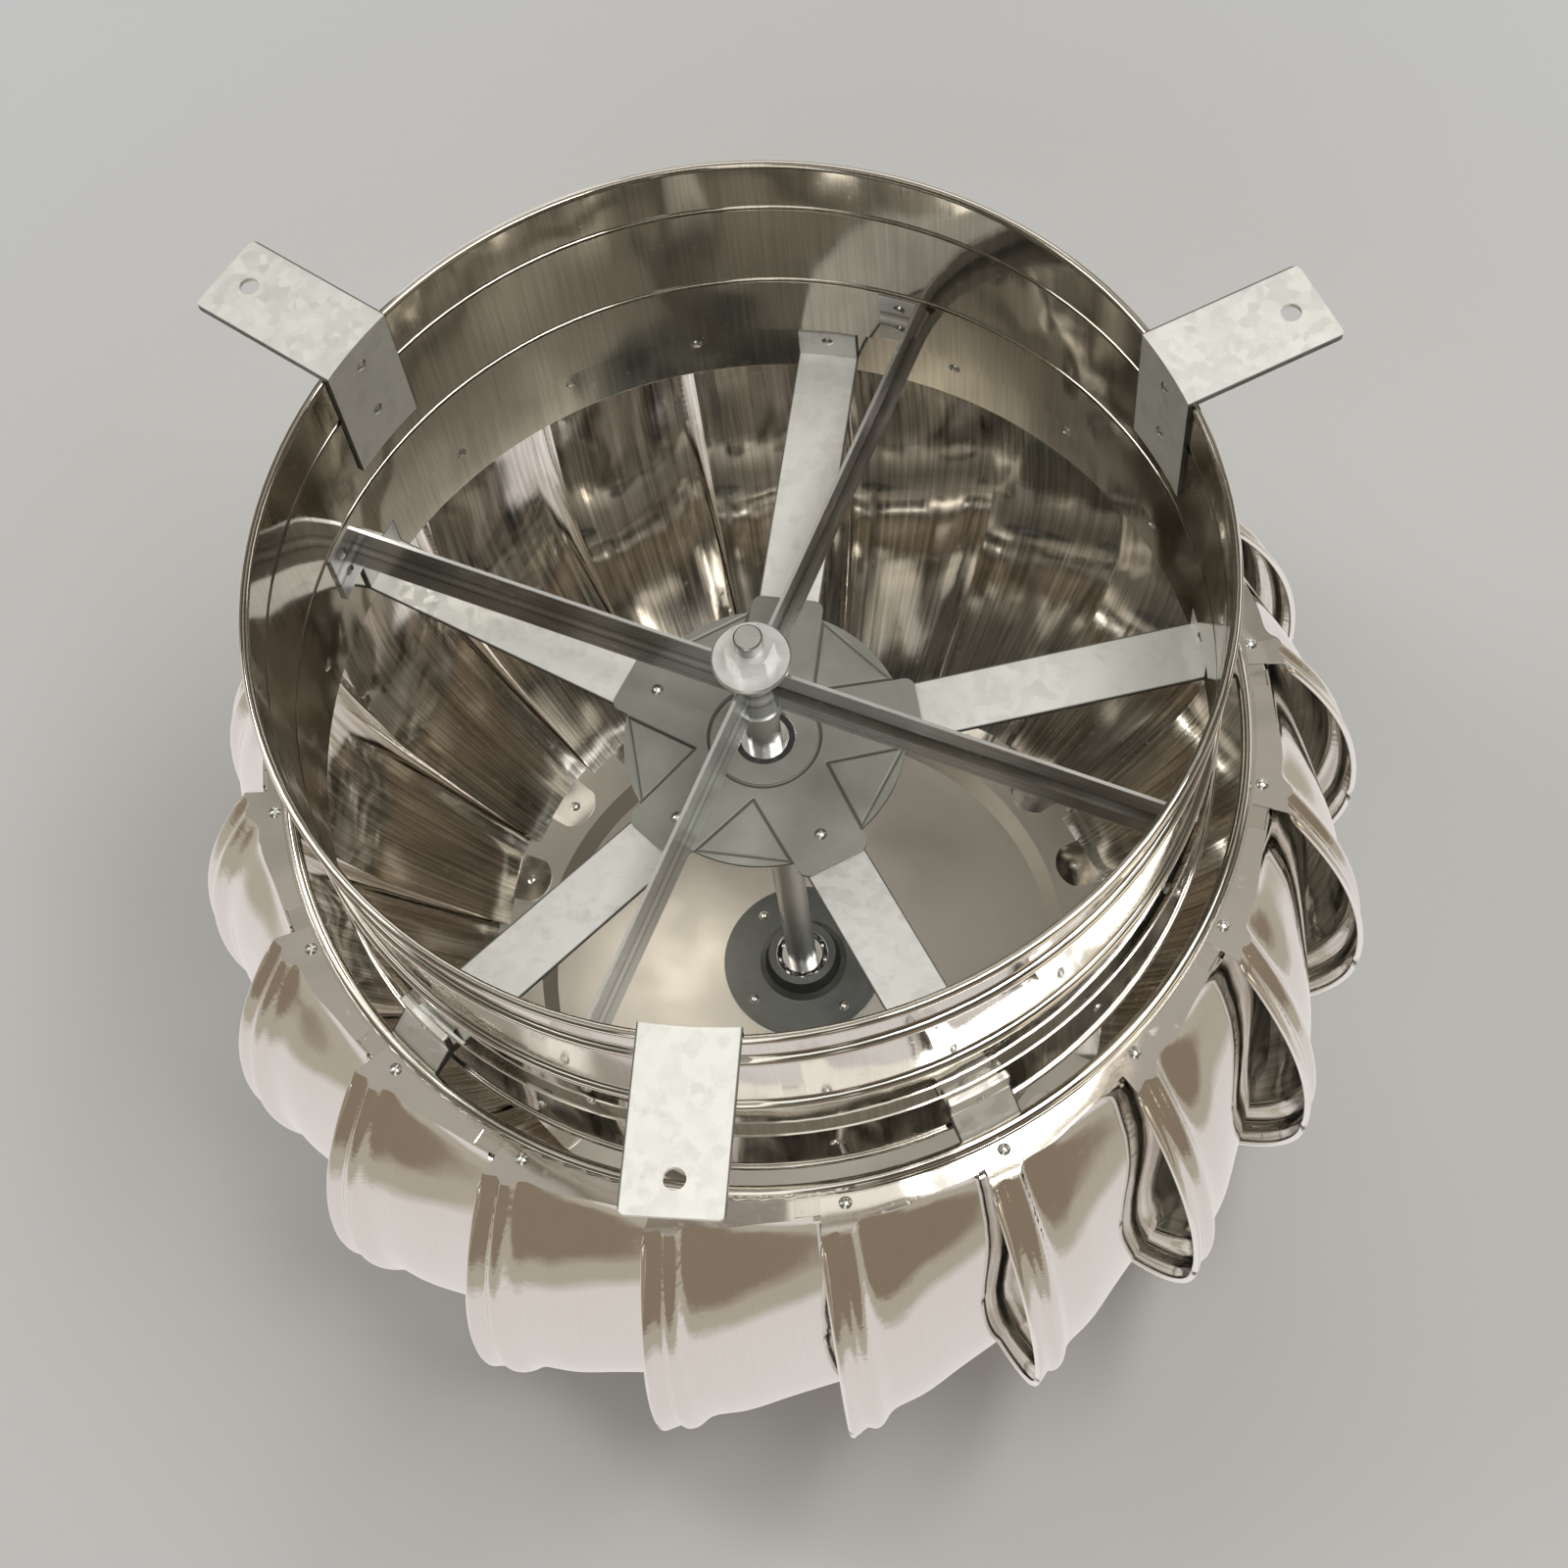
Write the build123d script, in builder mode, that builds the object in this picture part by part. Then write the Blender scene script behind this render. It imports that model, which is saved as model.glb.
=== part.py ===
from build123d import *
from math import cos, sin, tan, atan2, radians, degrees, pi, sqrt, hypot
import os

os.makedirs("parts", exist_ok=True)

# ---- driving sizes, millimetres; +Z runs from the neck mouth to the dome ----
# The origin is on the spin axis in the plane the feet stand on.
neck_radius = 250.0        # outside of the neck wall, a 500 mm duct size
sheet = 1.0                # sheet used for neck, rings, blades and top plate
strip = 2.0                # strip used for arms, brackets and the hub disc
foot_thickness = 3.0       # strip used for the feet

# neck
neck_height = 155.0        # rim underside to the free top edge
rim_roll = 2.6             # radius of the rolled rim at the mouth
bead_height_1 = 37.0       # first swaged bead above the mouth
bead_below_top = 50.0      # second swaged bead below the neck's top edge
bead_radius = 3.4          # outside radius of both beads

# feet
foot_count = 3
foot_angle = 43.5          # first foot around the axis
foot_width = 50.0
foot_length = 88.0         # how far each foot stands out past the neck
foot_hole_inset = 18.0     # hole centre from the foot's outer end
foot_hole_radius = 5.5
foot_tab_height = 88.0     # riveted tab standing inside the mouth
foot_rivet_low = 15.0
foot_rivet_high = 58.0

# fixed cross that carries the shaft
cross_count = 4
cross_angle = 31.5
cross_below_top = 48.0     # lower edge of the cross strips below the neck's top edge
cross_depth = 44.0         # strips stand on edge, this tall
cross_tab = 24.0           # tab folded along the neck wall
groove_depth = 3.0         # stiffening groove pressed along each strip
groove_half = 6.0
cross_rivet_low = 10.0     # rivet heights above the strip's lower edge
cross_rivet_high = 30.0
sleeve_radius = 13.0

# shaft and its fixings
thread_radius = 8.0
shaft_radius = 10.0
journal_radius = 8.5       # seat of the top bearing
bore_clearance = 0.05      # radial clearance of bores on the shaft
nut_across = 24.0
nut_height = 13.0
washer_radius = 22.0
washer_height = 8.0
thread_tip = 10.0          # thread left showing past the nut

# rotor rings
ring_gap = 3.0             # radial gap between neck and rotor ring
ring_overlap = 9.0         # how far the rotor ring hangs past the neck edge
ring_height = 54.0
ring_hem = 1.6             # radius of the hemmed upper edge
row_height = 23.0          # rivet row above the ring's lower edge
row_count = 20
rim_reach = 18.0           # rolled rim of the outer ring outside the rotor ring
outer_rim_roll = 3.5
flange_share = 0.55        # flange kept this share of a blade's sag clear of the blades
outer_rim_drop = 15.0      # rim centre below the top of the inner ring

# rotor spider
arm_count = 5
arm_angle = 36.0
arm_width = 36.0
arm_tab_height = 22.0
arm_rise = 16.0            # hub end of each arm above its ring end
disc_radius = 81.0
lobe_reach = 9.0           # lobes past the edge of the disc
disc_rivet_inset = 11.0    # lobe rivets inside that edge

# ball bearings, both the same size outside
bearing_radius = 21.0
bearing_width = 12.0
ball_radius = 3.3
ball_circle = 15.6
ball_count = 9
groove_clearance = 0.03

# blades
blade_count = 20
blade_turn = 18.0          # pitch between blades, degrees
blade_lap = 4.0            # each blade runs this far under the next one
blade_lead = 3.0           # leading edge ahead of the blade's lower rivet
lead_reach = 26.0          # leading edge past the rolled rim, at the outer ring
belly_reach = 63.0         # leading edge at the widest level past its lower end
crown_inset = 76.0         # its upper end inside its lower end
belly_share = 0.5472       # widest level as a share of the blade's height
blade_height = 360.0       # lower tab to top plate
step_low = 8.0             # inward step to the trailing edge at the ring
step_mid = 34.0            # the same at the widest level
step_high = 10.0           # the same at the top plate
rib_rise = 3.2             # pressed rib beside the leading edge
rib_place = 0.12           # its place along the width of the blade
rib_half = 0.045           # half its width, the same way
tab_reach = 5.5            # inner edge of the lower tabs past the rolled rim
lower_rivet_reach = 9.5    # rivets of the lower tabs past the rolled rim
upper_rivet_inset = 22.0   # rivets of the upper tabs inside the crown

# top plate
plate_reach = 4.0          # edge of the plate past the crown of the blades
plate_step_inset = 41.0    # foot of the raised step inside the crown
plate_step = 11.0
hub_plate_radius = 55.0
hub_rivet_circle = 44.0
hub_rivet_count = 4

# rivets
rivet_shank = 1.6
rivet_head = 3.6
rivet_dome = 1.7
rivet_flat = 0.5           # small flat on top of the dome
rivet_tail = 2.8
tail_height = 1.0
hole_clearance = 0.05
seat_gap = 0.04            # keeps flat heads just off curved walls

# ---- levels that follow from the sizes above ----
mouth = foot_thickness
neck_top = mouth + neck_height
inside = neck_radius - sheet
bead_height_2 = neck_height - bead_below_top
foot_reach = neck_radius + foot_length
foot_hole_circle = foot_reach - foot_hole_inset
cross_base = mouth + neck_height - cross_below_top
cross_top = cross_base + cross_depth
ring_inside = neck_radius + ring_gap
ring_outside = ring_inside + sheet
outer_rim_radius = ring_outside + rim_reach
tab_inner_radius = outer_rim_radius + tab_reach
lower_rivet_circle = outer_rim_radius + lower_rivet_reach
foot_edge_radius = outer_rim_radius + lead_reach
blade_sag = foot_edge_radius * (1 - cos(radians((blade_turn + blade_lap) / 2)))
outer_flange_radius = foot_edge_radius - step_low - sheet - flange_share * blade_sag
bow = (arm_width / 2) ** 2 / (2 * outer_rim_radius)
belly_radius = foot_edge_radius + belly_reach
belly_height = blade_height * belly_share
crown_radius = foot_edge_radius - crown_inset
plate_radius = crown_radius + plate_reach
plate_step_radius = crown_radius - plate_step_inset
upper_rivet_circle = crown_radius - upper_rivet_inset
lobe_radius = disc_radius + lobe_reach
disc_rivet_circle = disc_radius - disc_rivet_inset
ring_base = neck_top - ring_overlap
ring_top = ring_base + ring_height
row_level = ring_base + row_height
arm_outer_level = ring_top - 17.0
arm_hub_level = arm_outer_level + arm_rise
rim_level = ring_top - outer_rim_drop
flange_top = rim_level + outer_rim_roll + seat_gap
flange_base = flange_top - sheet
tab_base = flange_base - sheet
crown_level = tab_base + blade_height
plate_base = crown_level
hub_level = plate_base + plate_step
disc_base = arm_hub_level - strip
hole_radius = rivet_shank + hole_clearance
lower_bearing_base = disc_base + strip
top_bearing_base = hub_level - strip - bearing_width
nut_top = cross_base - washer_height
nut_base = nut_top - nut_height
shaft_base = nut_base - thread_tip


def ring_slice(radius_in, radius_out, half_angle, base, height, turn):
    """Curved strip of a cylinder wall between two radii, centred on an angle."""
    with BuildPart(mode=Mode.PRIVATE) as piece:
        with BuildSketch(Plane.XY.offset(base)):
            Circle(radius_out)
            Circle(radius_in, mode=Mode.SUBTRACT)
            reach = radius_out * 1.5
            side = reach * tan(radians(half_angle))
            with BuildLine():
                Polyline((0, 0), (reach, side), (reach, -side), close=True)
            make_face(mode=Mode.INTERSECT)
        extrude(amount=height)
    return piece.part.rotate(Axis.Z, turn)


def pin_hole(radius, radius_from, radius_to, level, turn):
    """Round cutter lying along a radius at one level and angle."""
    with BuildPart(mode=Mode.PRIVATE) as piece:
        with BuildSketch(Plane.YZ.offset(radius_from)):
            with Locations((0, level)):
                Circle(radius)
        extrude(amount=radius_to - radius_from)
    return piece.part.rotate(Axis.Z, turn)


def rivet(grip):
    """Domed rivet along Z: head under z = 0, shank up to grip, flat tail above."""
    with BuildPart(mode=Mode.PRIVATE) as piece:
        with BuildSketch(Plane.XZ):
            with BuildLine():
                Polyline(
                    (rivet_flat, -rivet_dome), (0, -rivet_dome), (0, grip + tail_height),
                    (rivet_tail * 0.8, grip + tail_height),
                    (rivet_tail, grip + tail_height * 0.4), (rivet_tail, grip), (rivet_shank, grip),
                    (rivet_shank, 0), (rivet_head, 0),
                )
                ThreePointArc((rivet_head, 0), (rivet_head * 0.7, -rivet_dome * 0.6), (rivet_flat, -rivet_dome))
            make_face()
        revolve(axis=Axis.Z)
    return piece.part


def radial_rivet(grip, head_radius, level, turn, outward=True):
    """Rivet lying on a radius with its head nearest the axis (or turned round)."""
    body = rivet(grip).rotate(Axis.Y, 90 if outward else -90)
    return body.translate((head_radius, 0, level)).rotate(Axis.Z, turn)


def upright_rivet(grip, radius, level, turn):
    """Rivet standing on Z with its head below the level."""
    return rivet(grip).translate((radius, 0, level)).rotate(Axis.Z, turn)


def save(part, name):
    part.label = name
    export_step(part, "parts/" + name + ".step")


def save_group(solids, name):
    group = Compound(children=[s for s in solids])
    group.label = name
    export_step(group, "parts/" + name + ".step")


foot_turns = [foot_angle + i * 360.0 / foot_count for i in range(foot_count)]
cross_turns = [cross_angle + i * 360.0 / cross_count for i in range(cross_count)]
arm_turns = [arm_angle + i * 360.0 / arm_count for i in range(arm_count)]
row_turns = [i * 360.0 / row_count for i in range(row_count)]
plain_turns = [a for a in row_turns if min(abs(a - b) for b in arm_turns) > 1.0]
cross_tab_turn = degrees((cross_tab * 0.5) / inside)

# ---- neck ----
with BuildPart() as collar:
    with BuildSketch(Plane.XZ):
        with Locations(((inside + neck_radius) / 2, mouth + rim_roll + neck_height / 2 - rim_roll / 2)):
            Rectangle(sheet, neck_height - rim_roll)
        with Locations((inside + rim_roll, mouth + rim_roll)):
            Circle(rim_roll)
        for level in (bead_height_1, bead_height_2):
            with Locations(((inside + neck_radius) / 2, mouth + level)):
                Circle(bead_radius)
        for level in (bead_height_1, bead_height_2):
            with Locations(((inside + neck_radius) / 2, mouth + level)):
                Circle(bead_radius - sheet, mode=Mode.SUBTRACT)
        with Locations((inside - 10, mouth + neck_height / 2)):
            Rectangle(20, neck_height * 1.2, mode=Mode.SUBTRACT)
    revolve(axis=Axis.Z)
    for turn in foot_turns:
        for level in (foot_rivet_low, foot_rivet_high):
            add(pin_hole(hole_radius, inside - 5, neck_radius + 5, mouth + level, turn), mode=Mode.SUBTRACT)
    for turn in cross_turns:
        for level in (cross_rivet_low, cross_rivet_high):
            turned = turn - cross_tab_turn
            add(pin_hole(hole_radius, inside - 5, neck_radius + 5, cross_base + level, turned), mode=Mode.SUBTRACT)
save(collar.part, "collar")

# ---- feet ----
foot_half = degrees(atan2(foot_width / 2, inside))
for index, turn in enumerate(foot_turns):
    with BuildPart() as foot_bracket:
        with BuildSketch(Plane.XY):
            with Locations(((inside + foot_reach) / 2 - 6, 0)):
                Rectangle(foot_reach - inside + 12, foot_width)
            Circle(inside - strip, mode=Mode.SUBTRACT)
            with Locations((foot_hole_circle, 0)):
                Circle(foot_hole_radius, mode=Mode.SUBTRACT)
        extrude(amount=foot_thickness)
        corners = foot_bracket.edges().filter_by(Axis.Z).sort_by(Axis.X)[-2:]
        fillet(corners, radius=4)
        add(ring_slice(inside - strip, inside, foot_half, 0, mouth + foot_tab_height, 0))
        for level in (foot_rivet_low, foot_rivet_high):
            add(pin_hole(hole_radius, inside - 8, inside + 8, mouth + level, 0), mode=Mode.SUBTRACT)
    save(foot_bracket.part.rotate(Axis.Z, turn), "foot_bracket_" + str(index + 1))

# ---- fixed cross ----
mid = cross_base + cross_depth / 2
for index, turn in enumerate(cross_turns):
    with BuildPart() as cross_arm:
        with BuildSketch(Plane.YZ):
            with BuildLine():
                Polyline(
                    (-strip / 2, cross_base), (strip / 2, cross_base),
                    (strip / 2, mid - groove_half), (strip / 2 + groove_depth, mid),
                    (strip / 2, mid + groove_half), (strip / 2, cross_top),
                    (-strip / 2, cross_top), (-strip / 2, mid + groove_half),
                    (groove_depth - strip / 2, mid), (-strip / 2, mid - groove_half),
                    close=True,
                )
            make_face()
        extrude(amount=inside - 12)
        with BuildSketch(Plane.YZ):
            with Locations((0, mid)):
                Rectangle(strip, cross_depth)
        extrude(amount=inside - 2)
        with BuildSketch(Plane.XY.offset(cross_base)):
            Circle(sleeve_radius)
        extrude(amount=cross_depth, mode=Mode.SUBTRACT)
        slip = degrees(atan2(strip / 2, inside))
        half = cross_tab_turn + slip / 2
        tab = ring_slice(inside - strip, inside, half, cross_base, cross_depth, slip / 2 - cross_tab_turn)
        add(tab)
        with BuildSketch(Plane.XY.offset(cross_base)):
            Circle(inside + 10)
            Circle(inside, mode=Mode.SUBTRACT)
        extrude(amount=cross_depth, mode=Mode.SUBTRACT)
        for level in (cross_rivet_low, cross_rivet_high):
            cutter = pin_hole(hole_radius, inside - 8, inside + 8, cross_base + level, -cross_tab_turn)
            add(cutter, mode=Mode.SUBTRACT)
    save(cross_arm.part.rotate(Axis.Z, turn), "cross_arm_" + str(index + 1))

with BuildPart() as cross_sleeve:
    with BuildSketch(Plane.XY.offset(cross_base)):
        Circle(sleeve_radius)
        Circle(thread_radius + bore_clearance, mode=Mode.SUBTRACT)
    extrude(amount=cross_depth)
save(cross_sleeve.part, "cross_sleeve")

neck_grip = strip + sheet + 2 * seat_gap
neck_rivets = []
for turn in foot_turns:
    for level in (foot_rivet_low, foot_rivet_high):
        body = radial_rivet(neck_grip, inside - strip - seat_gap, mouth + level, turn)
        neck_rivets.append(body)
for turn in cross_turns:
    for level in (cross_rivet_low, cross_rivet_high):
        turned = turn - cross_tab_turn
        body = radial_rivet(neck_grip, inside - strip - seat_gap, cross_base + level, turned)
        neck_rivets.append(body)
save_group(neck_rivets, "neck_rivets")

# ---- shaft ----
with BuildPart() as shaft:
    with BuildSketch(Plane.XZ):
        with BuildLine():
            Polyline(
                (0, shaft_base), (thread_radius - 1, shaft_base), (thread_radius, shaft_base + 1),
                (thread_radius, cross_top), (shaft_radius + 4, cross_top),
                (shaft_radius + 4, cross_top + 5), (shaft_radius, cross_top + 6),
                (shaft_radius, top_bearing_base), (journal_radius, top_bearing_base),
                (journal_radius, top_bearing_base + bearing_width - 0.2),
                (journal_radius - 1, top_bearing_base + bearing_width + 0.8),
                (0, top_bearing_base + bearing_width + 0.8), close=True,
            )
        make_face()
    revolve(axis=Axis.Z)
    with BuildSketch(Plane.XZ):
        turns = int((nut_base - shaft_base - 2) / 2)
        for i in range(turns):
            with Locations((thread_radius, shaft_base + 2 + 2 * i)):
                Rectangle(1.0, 0.9, mode=Mode.ADD)
    revolve(axis=Axis.Z, mode=Mode.SUBTRACT)
save(shaft.part, "shaft")

with BuildPart() as shaft_nut:
    with BuildSketch(Plane.XY.offset(nut_base)):
        RegularPolygon(nut_across / 2, 6, major_radius=False)
        Circle(thread_radius + bore_clearance, mode=Mode.SUBTRACT)
    extrude(amount=nut_height)
    with BuildSketch(Plane.XZ):
        with BuildLine():
            Polyline(
                (nut_across / 2 - 0.6, nut_base - 1), (nut_across, nut_base - 1),
                (nut_across, nut_base + 6.5), close=True,
            )
        make_face()
    revolve(axis=Axis.Z, mode=Mode.SUBTRACT)
save(shaft_nut.part, "shaft_nut")

with BuildPart() as flanged_washer:
    with BuildSketch(Plane.XZ):
        with BuildLine():
            Polyline(
                (thread_radius + bore_clearance, nut_top), (washer_radius - 1, nut_top),
                (washer_radius, nut_top + 1), (washer_radius, nut_top + 2.6),
                (washer_radius - 5, nut_top + 4), (washer_radius - 5, cross_base),
                (thread_radius + bore_clearance, cross_base), close=True,
            )
        make_face()
    revolve(axis=Axis.Z)
save(flanged_washer.part, "flanged_washer")

# ---- ball bearings ----
ball_turns = [i * 360.0 / ball_count for i in range(ball_count)]
bearings = (
    ("lower", lower_bearing_base, shaft_radius),
    ("top", top_bearing_base, journal_radius),
)
for name, base, bore in bearings:
    middle = base + bearing_width / 2
    track = ball_radius + groove_clearance
    with BuildPart() as inner_race:
        with BuildSketch(Plane.XZ):
            width = ball_circle - 1.8 - bore - bore_clearance
            with Locations((bore + bore_clearance + width / 2, middle)):
                Rectangle(width, bearing_width)
            with Locations((ball_circle, middle)):
                Circle(track, mode=Mode.SUBTRACT)
        revolve(axis=Axis.Z)
    save(inner_race.part, name + "_inner_race")
    with BuildPart() as outer_race:
        with BuildSketch(Plane.XZ):
            width = bearing_radius - ball_circle - 1.8
            with Locations((bearing_radius - width / 2, middle)):
                Rectangle(width, bearing_width)
            with Locations((ball_circle, middle)):
                Circle(track, mode=Mode.SUBTRACT)
        revolve(axis=Axis.Z)
    save(outer_race.part, name + "_outer_race")
    balls = []
    for turn in ball_turns:
        with BuildPart() as ball:
            Sphere(ball_radius)
        place = (ball_circle * cos(radians(turn)), ball_circle * sin(radians(turn)), middle)
        balls.append(ball.part.translate(place))
    save_group(balls, name + "_balls")

with BuildPart() as lower_seal:
    with BuildSketch(Plane.XY.offset(lower_bearing_base + 0.4)):
        Circle(ball_circle + 1.8)
        Circle(ball_circle - 1.8 + 0.2, mode=Mode.SUBTRACT)
    extrude(amount=1.4)
save(lower_seal.part, "lower_seal")

# ---- rotor rings ----
with BuildPart() as inner_ring:
    with BuildSketch(Plane.XZ):
        with Locations(((ring_inside + ring_outside) / 2, ring_base + ring_height / 2 - ring_hem / 2)):
            Rectangle(sheet, ring_height - ring_hem)
        with Locations((ring_inside + ring_hem, ring_top - ring_hem)):
            Circle(ring_hem)
    revolve(axis=Axis.Z)
    for turn in row_turns:
        add(pin_hole(hole_radius, ring_inside - 5, ring_outside + 5, row_level, turn), mode=Mode.SUBTRACT)
save(inner_ring.part, "inner_ring")

with BuildPart() as outer_ring:
    with BuildSketch(Plane.XZ):
        with Locations((outer_rim_radius, rim_level)):
            Circle(outer_rim_roll)
            Circle(outer_rim_roll - sheet, mode=Mode.SUBTRACT)
        width = outer_flange_radius - outer_rim_radius
        with Locations((outer_rim_radius + width / 2, flange_top - sheet / 2)):
            Rectangle(width, sheet)
    revolve(axis=Axis.Z)
    for turn in row_turns:
        with BuildSketch(Plane.XY.offset(flange_base - 2)):
            with Locations((
                lower_rivet_circle * cos(radians(turn)), lower_rivet_circle * sin(radians(turn)),
            )):
                Circle(hole_radius)
        extrude(amount=sheet + 4, mode=Mode.SUBTRACT)
save(outer_ring.part, "outer_ring")

# ---- brackets joining the two rings ----
bracket_half = degrees(atan2(arm_width / 2, ring_outside))
bend = ring_outside + strip
for index, turn in enumerate(arm_turns):
    with BuildPart() as ring_bracket:
        low = row_level + 6
        with BuildSketch(Plane.XZ):
            with BuildLine():
                Polyline(
                    (ring_outside - 2, low), (bend, low),
                    (outer_rim_radius - outer_rim_roll - 0.9 - bow, flange_top - 3),
                    (outer_rim_radius - outer_rim_roll + 2.1 - bow, flange_top),
                    (lower_rivet_circle + 4.5, flange_top),
                    (lower_rivet_circle + 4.5, flange_top + strip),
                    (outer_rim_radius - outer_rim_roll - 0.9 - bow, flange_top + strip),
                    (ring_outside - 2, low + 5), close=True,
                )
            make_face()
        extrude(amount=arm_width / 2, both=True)
        with BuildSketch(Plane.XY.offset(row_level - 12)):
            Circle(ring_outside)
        extrude(amount=60, mode=Mode.SUBTRACT)
        add(ring_slice(ring_outside, bend, bracket_half, row_level - 9, 18, 0))
        add(pin_hole(hole_radius, ring_outside - 5, bend + 5, row_level, 0), mode=Mode.SUBTRACT)
        with BuildSketch(Plane.XY.offset(flange_top - 2)):
            with Locations((lower_rivet_circle, 0)):
                Circle(hole_radius)
        extrude(amount=strip + 4, mode=Mode.SUBTRACT)
    save(ring_bracket.part.rotate(Axis.Z, turn), "ring_bracket_" + str(index + 1))

# ---- rotor arms ----
arm_half = degrees(atan2(arm_width / 2, ring_inside))
for index, turn in enumerate(arm_turns):
    with BuildPart() as rotor_arm:
        with BuildSketch(Plane.XZ):
            with BuildLine():
                Polyline(
                    (42, arm_hub_level), (lobe_radius, arm_hub_level),
                    (ring_inside + 4, arm_outer_level), (ring_inside + 4, arm_outer_level + strip),
                    (lobe_radius, arm_hub_level + strip), (42, arm_hub_level + strip), close=True,
                )
            make_face()
        extrude(amount=arm_width / 2, both=True)
        low = arm_outer_level - arm_tab_height
        add(ring_slice(ring_inside - strip, ring_inside + 2, arm_half, low, arm_tab_height + strip / 2, 0))
        with BuildSketch(Plane.XY.offset(low - 5)):
            Circle(ring_inside + 20)
            Circle(ring_inside, mode=Mode.SUBTRACT)
        extrude(amount=arm_tab_height + 30, mode=Mode.SUBTRACT)
        add(pin_hole(hole_radius, ring_inside - 8, ring_inside + 5, row_level, 0), mode=Mode.SUBTRACT)
        with BuildSketch(Plane.XY.offset(arm_hub_level - 2)):
            with Locations((disc_rivet_circle, 0)):
                Circle(hole_radius)
        extrude(amount=strip + 4, mode=Mode.SUBTRACT)
    save(rotor_arm.part.rotate(Axis.Z, turn), "rotor_arm_" + str(index + 1))

# ---- hub disc with the lower bearing cup ----
cup_inside = bearing_radius + bore_clearance
cup_outside = cup_inside + strip
with BuildPart() as hub_disc:
    with BuildSketch(Plane.XY.offset(disc_base)):
        Circle(disc_radius)
        for turn in arm_turns:
            with Locations(Location((0, 0, 0), (0, 0, turn))):
                with Locations((lobe_radius - 26, 0)):
                    RectangleRounded(52, arm_width + 6, 6)
        Circle(bearing_radius - 3, mode=Mode.SUBTRACT)
    extrude(amount=strip)
    with BuildSketch(Plane.XY.offset(disc_base + strip)):
        Circle(cup_outside)
        Circle(cup_inside, mode=Mode.SUBTRACT)
    extrude(amount=bearing_width)
    with BuildSketch(Plane.XZ):
        with Locations((32, disc_base)):
            Rectangle(2.4, 1.6)
    revolve(axis=Axis.Z, mode=Mode.SUBTRACT)
    for turn in arm_turns:
        with BuildSketch(Plane.XY.offset(disc_base)):
            with Locations(Location((0, 0, 0), (0, 0, turn + 36))):
                with BuildLine():
                    Polyline((40, 0), (disc_radius - 6, 27), (disc_radius - 6, -27), close=True)
                make_face()
        extrude(amount=0.8, mode=Mode.SUBTRACT)
        with BuildSketch(Plane.XY.offset(disc_base - 1)):
            with Locations((
                disc_rivet_circle * cos(radians(turn)), disc_rivet_circle * sin(radians(turn)),
            )):
                Circle(hole_radius)
        extrude(amount=strip + 2, mode=Mode.SUBTRACT)
save(hub_disc.part, "hub_disc")

# ---- top plate and its bearing plate ----
with BuildPart() as top_plate:
    with BuildSketch(Plane.XZ):
        with BuildLine():
            Polyline(
                (0, hub_level), (plate_step_radius - 9, hub_level),
                (plate_step_radius, plate_base), (plate_radius, plate_base),
                (plate_radius, plate_base + sheet), (plate_step_radius + 0.5, plate_base + sheet),
                (plate_step_radius - 8.5, hub_level + sheet), (0, hub_level + sheet), close=True,
            )
        make_face()
    revolve(axis=Axis.Z)
    for turn in row_turns:
        with BuildSketch(Plane.XY.offset(plate_base - 2)):
            with Locations((
                upper_rivet_circle * cos(radians(turn - 9)), upper_rivet_circle * sin(radians(turn - 9)),
            )):
                Circle(hole_radius)
        extrude(amount=sheet + 4, mode=Mode.SUBTRACT)
    for i in range(hub_rivet_count):
        angle = radians(60 + i * 360.0 / hub_rivet_count)
        with BuildSketch(Plane.XY.offset(hub_level - 2)):
            with Locations((hub_rivet_circle * cos(angle), hub_rivet_circle * sin(angle))):
                Circle(hole_radius)
        extrude(amount=sheet + 4, mode=Mode.SUBTRACT)
save(top_plate.part, "top_plate")

cup_floor = top_bearing_base - strip
with BuildPart() as bearing_plate:
    with BuildSketch(Plane.XZ):
        with BuildLine():
            Polyline(
                (cup_inside, hub_level - strip), (cup_inside, top_bearing_base),
                (bearing_radius - 3, top_bearing_base), (bearing_radius - 3, cup_floor),
                (cup_outside, cup_floor), (cup_outside + 3, hub_level - strip - 3),
                (cup_outside + 7, hub_level - strip),
                (hub_plate_radius, hub_level - strip), (hub_plate_radius, hub_level),
                (cup_inside, hub_level), close=True,
            )
        make_face()
    revolve(axis=Axis.Z)
    for i in range(hub_rivet_count):
        angle = radians(60 + i * 360.0 / hub_rivet_count)
        with BuildSketch(Plane.XY.offset(hub_level - strip - 2)):
            with Locations((hub_rivet_circle * cos(angle), hub_rivet_circle * sin(angle))):
                Circle(hole_radius)
        extrude(amount=strip + 4, mode=Mode.SUBTRACT)
save(bearing_plate.part, "bearing_plate")

# ---- blades ----
def lead_radius(height):
    """Reach of the leading edge at a height above the lower tab."""
    if height < belly_height:
        share = (belly_height - height) / belly_height
        return belly_radius - (belly_radius - foot_edge_radius) * share ** 2
    share = (height - belly_height) / (blade_height - belly_height)
    return belly_radius - (belly_radius - crown_radius) * share ** 2.3


def lead_slope(height):
    """Change of that reach with height."""
    return (lead_radius(height + 0.5) - lead_radius(height - 0.5)) / 1.0


def inward_step(height):
    """Difference in reach between leading and trailing edges."""
    if height < belly_height:
        share = height / belly_height
        return step_low + (step_mid - step_low) * sin(share * pi / 2)
    share = (height - belly_height) / (blade_height - belly_height)
    return step_mid + (step_high - step_mid) * share ** 1.6


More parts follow.
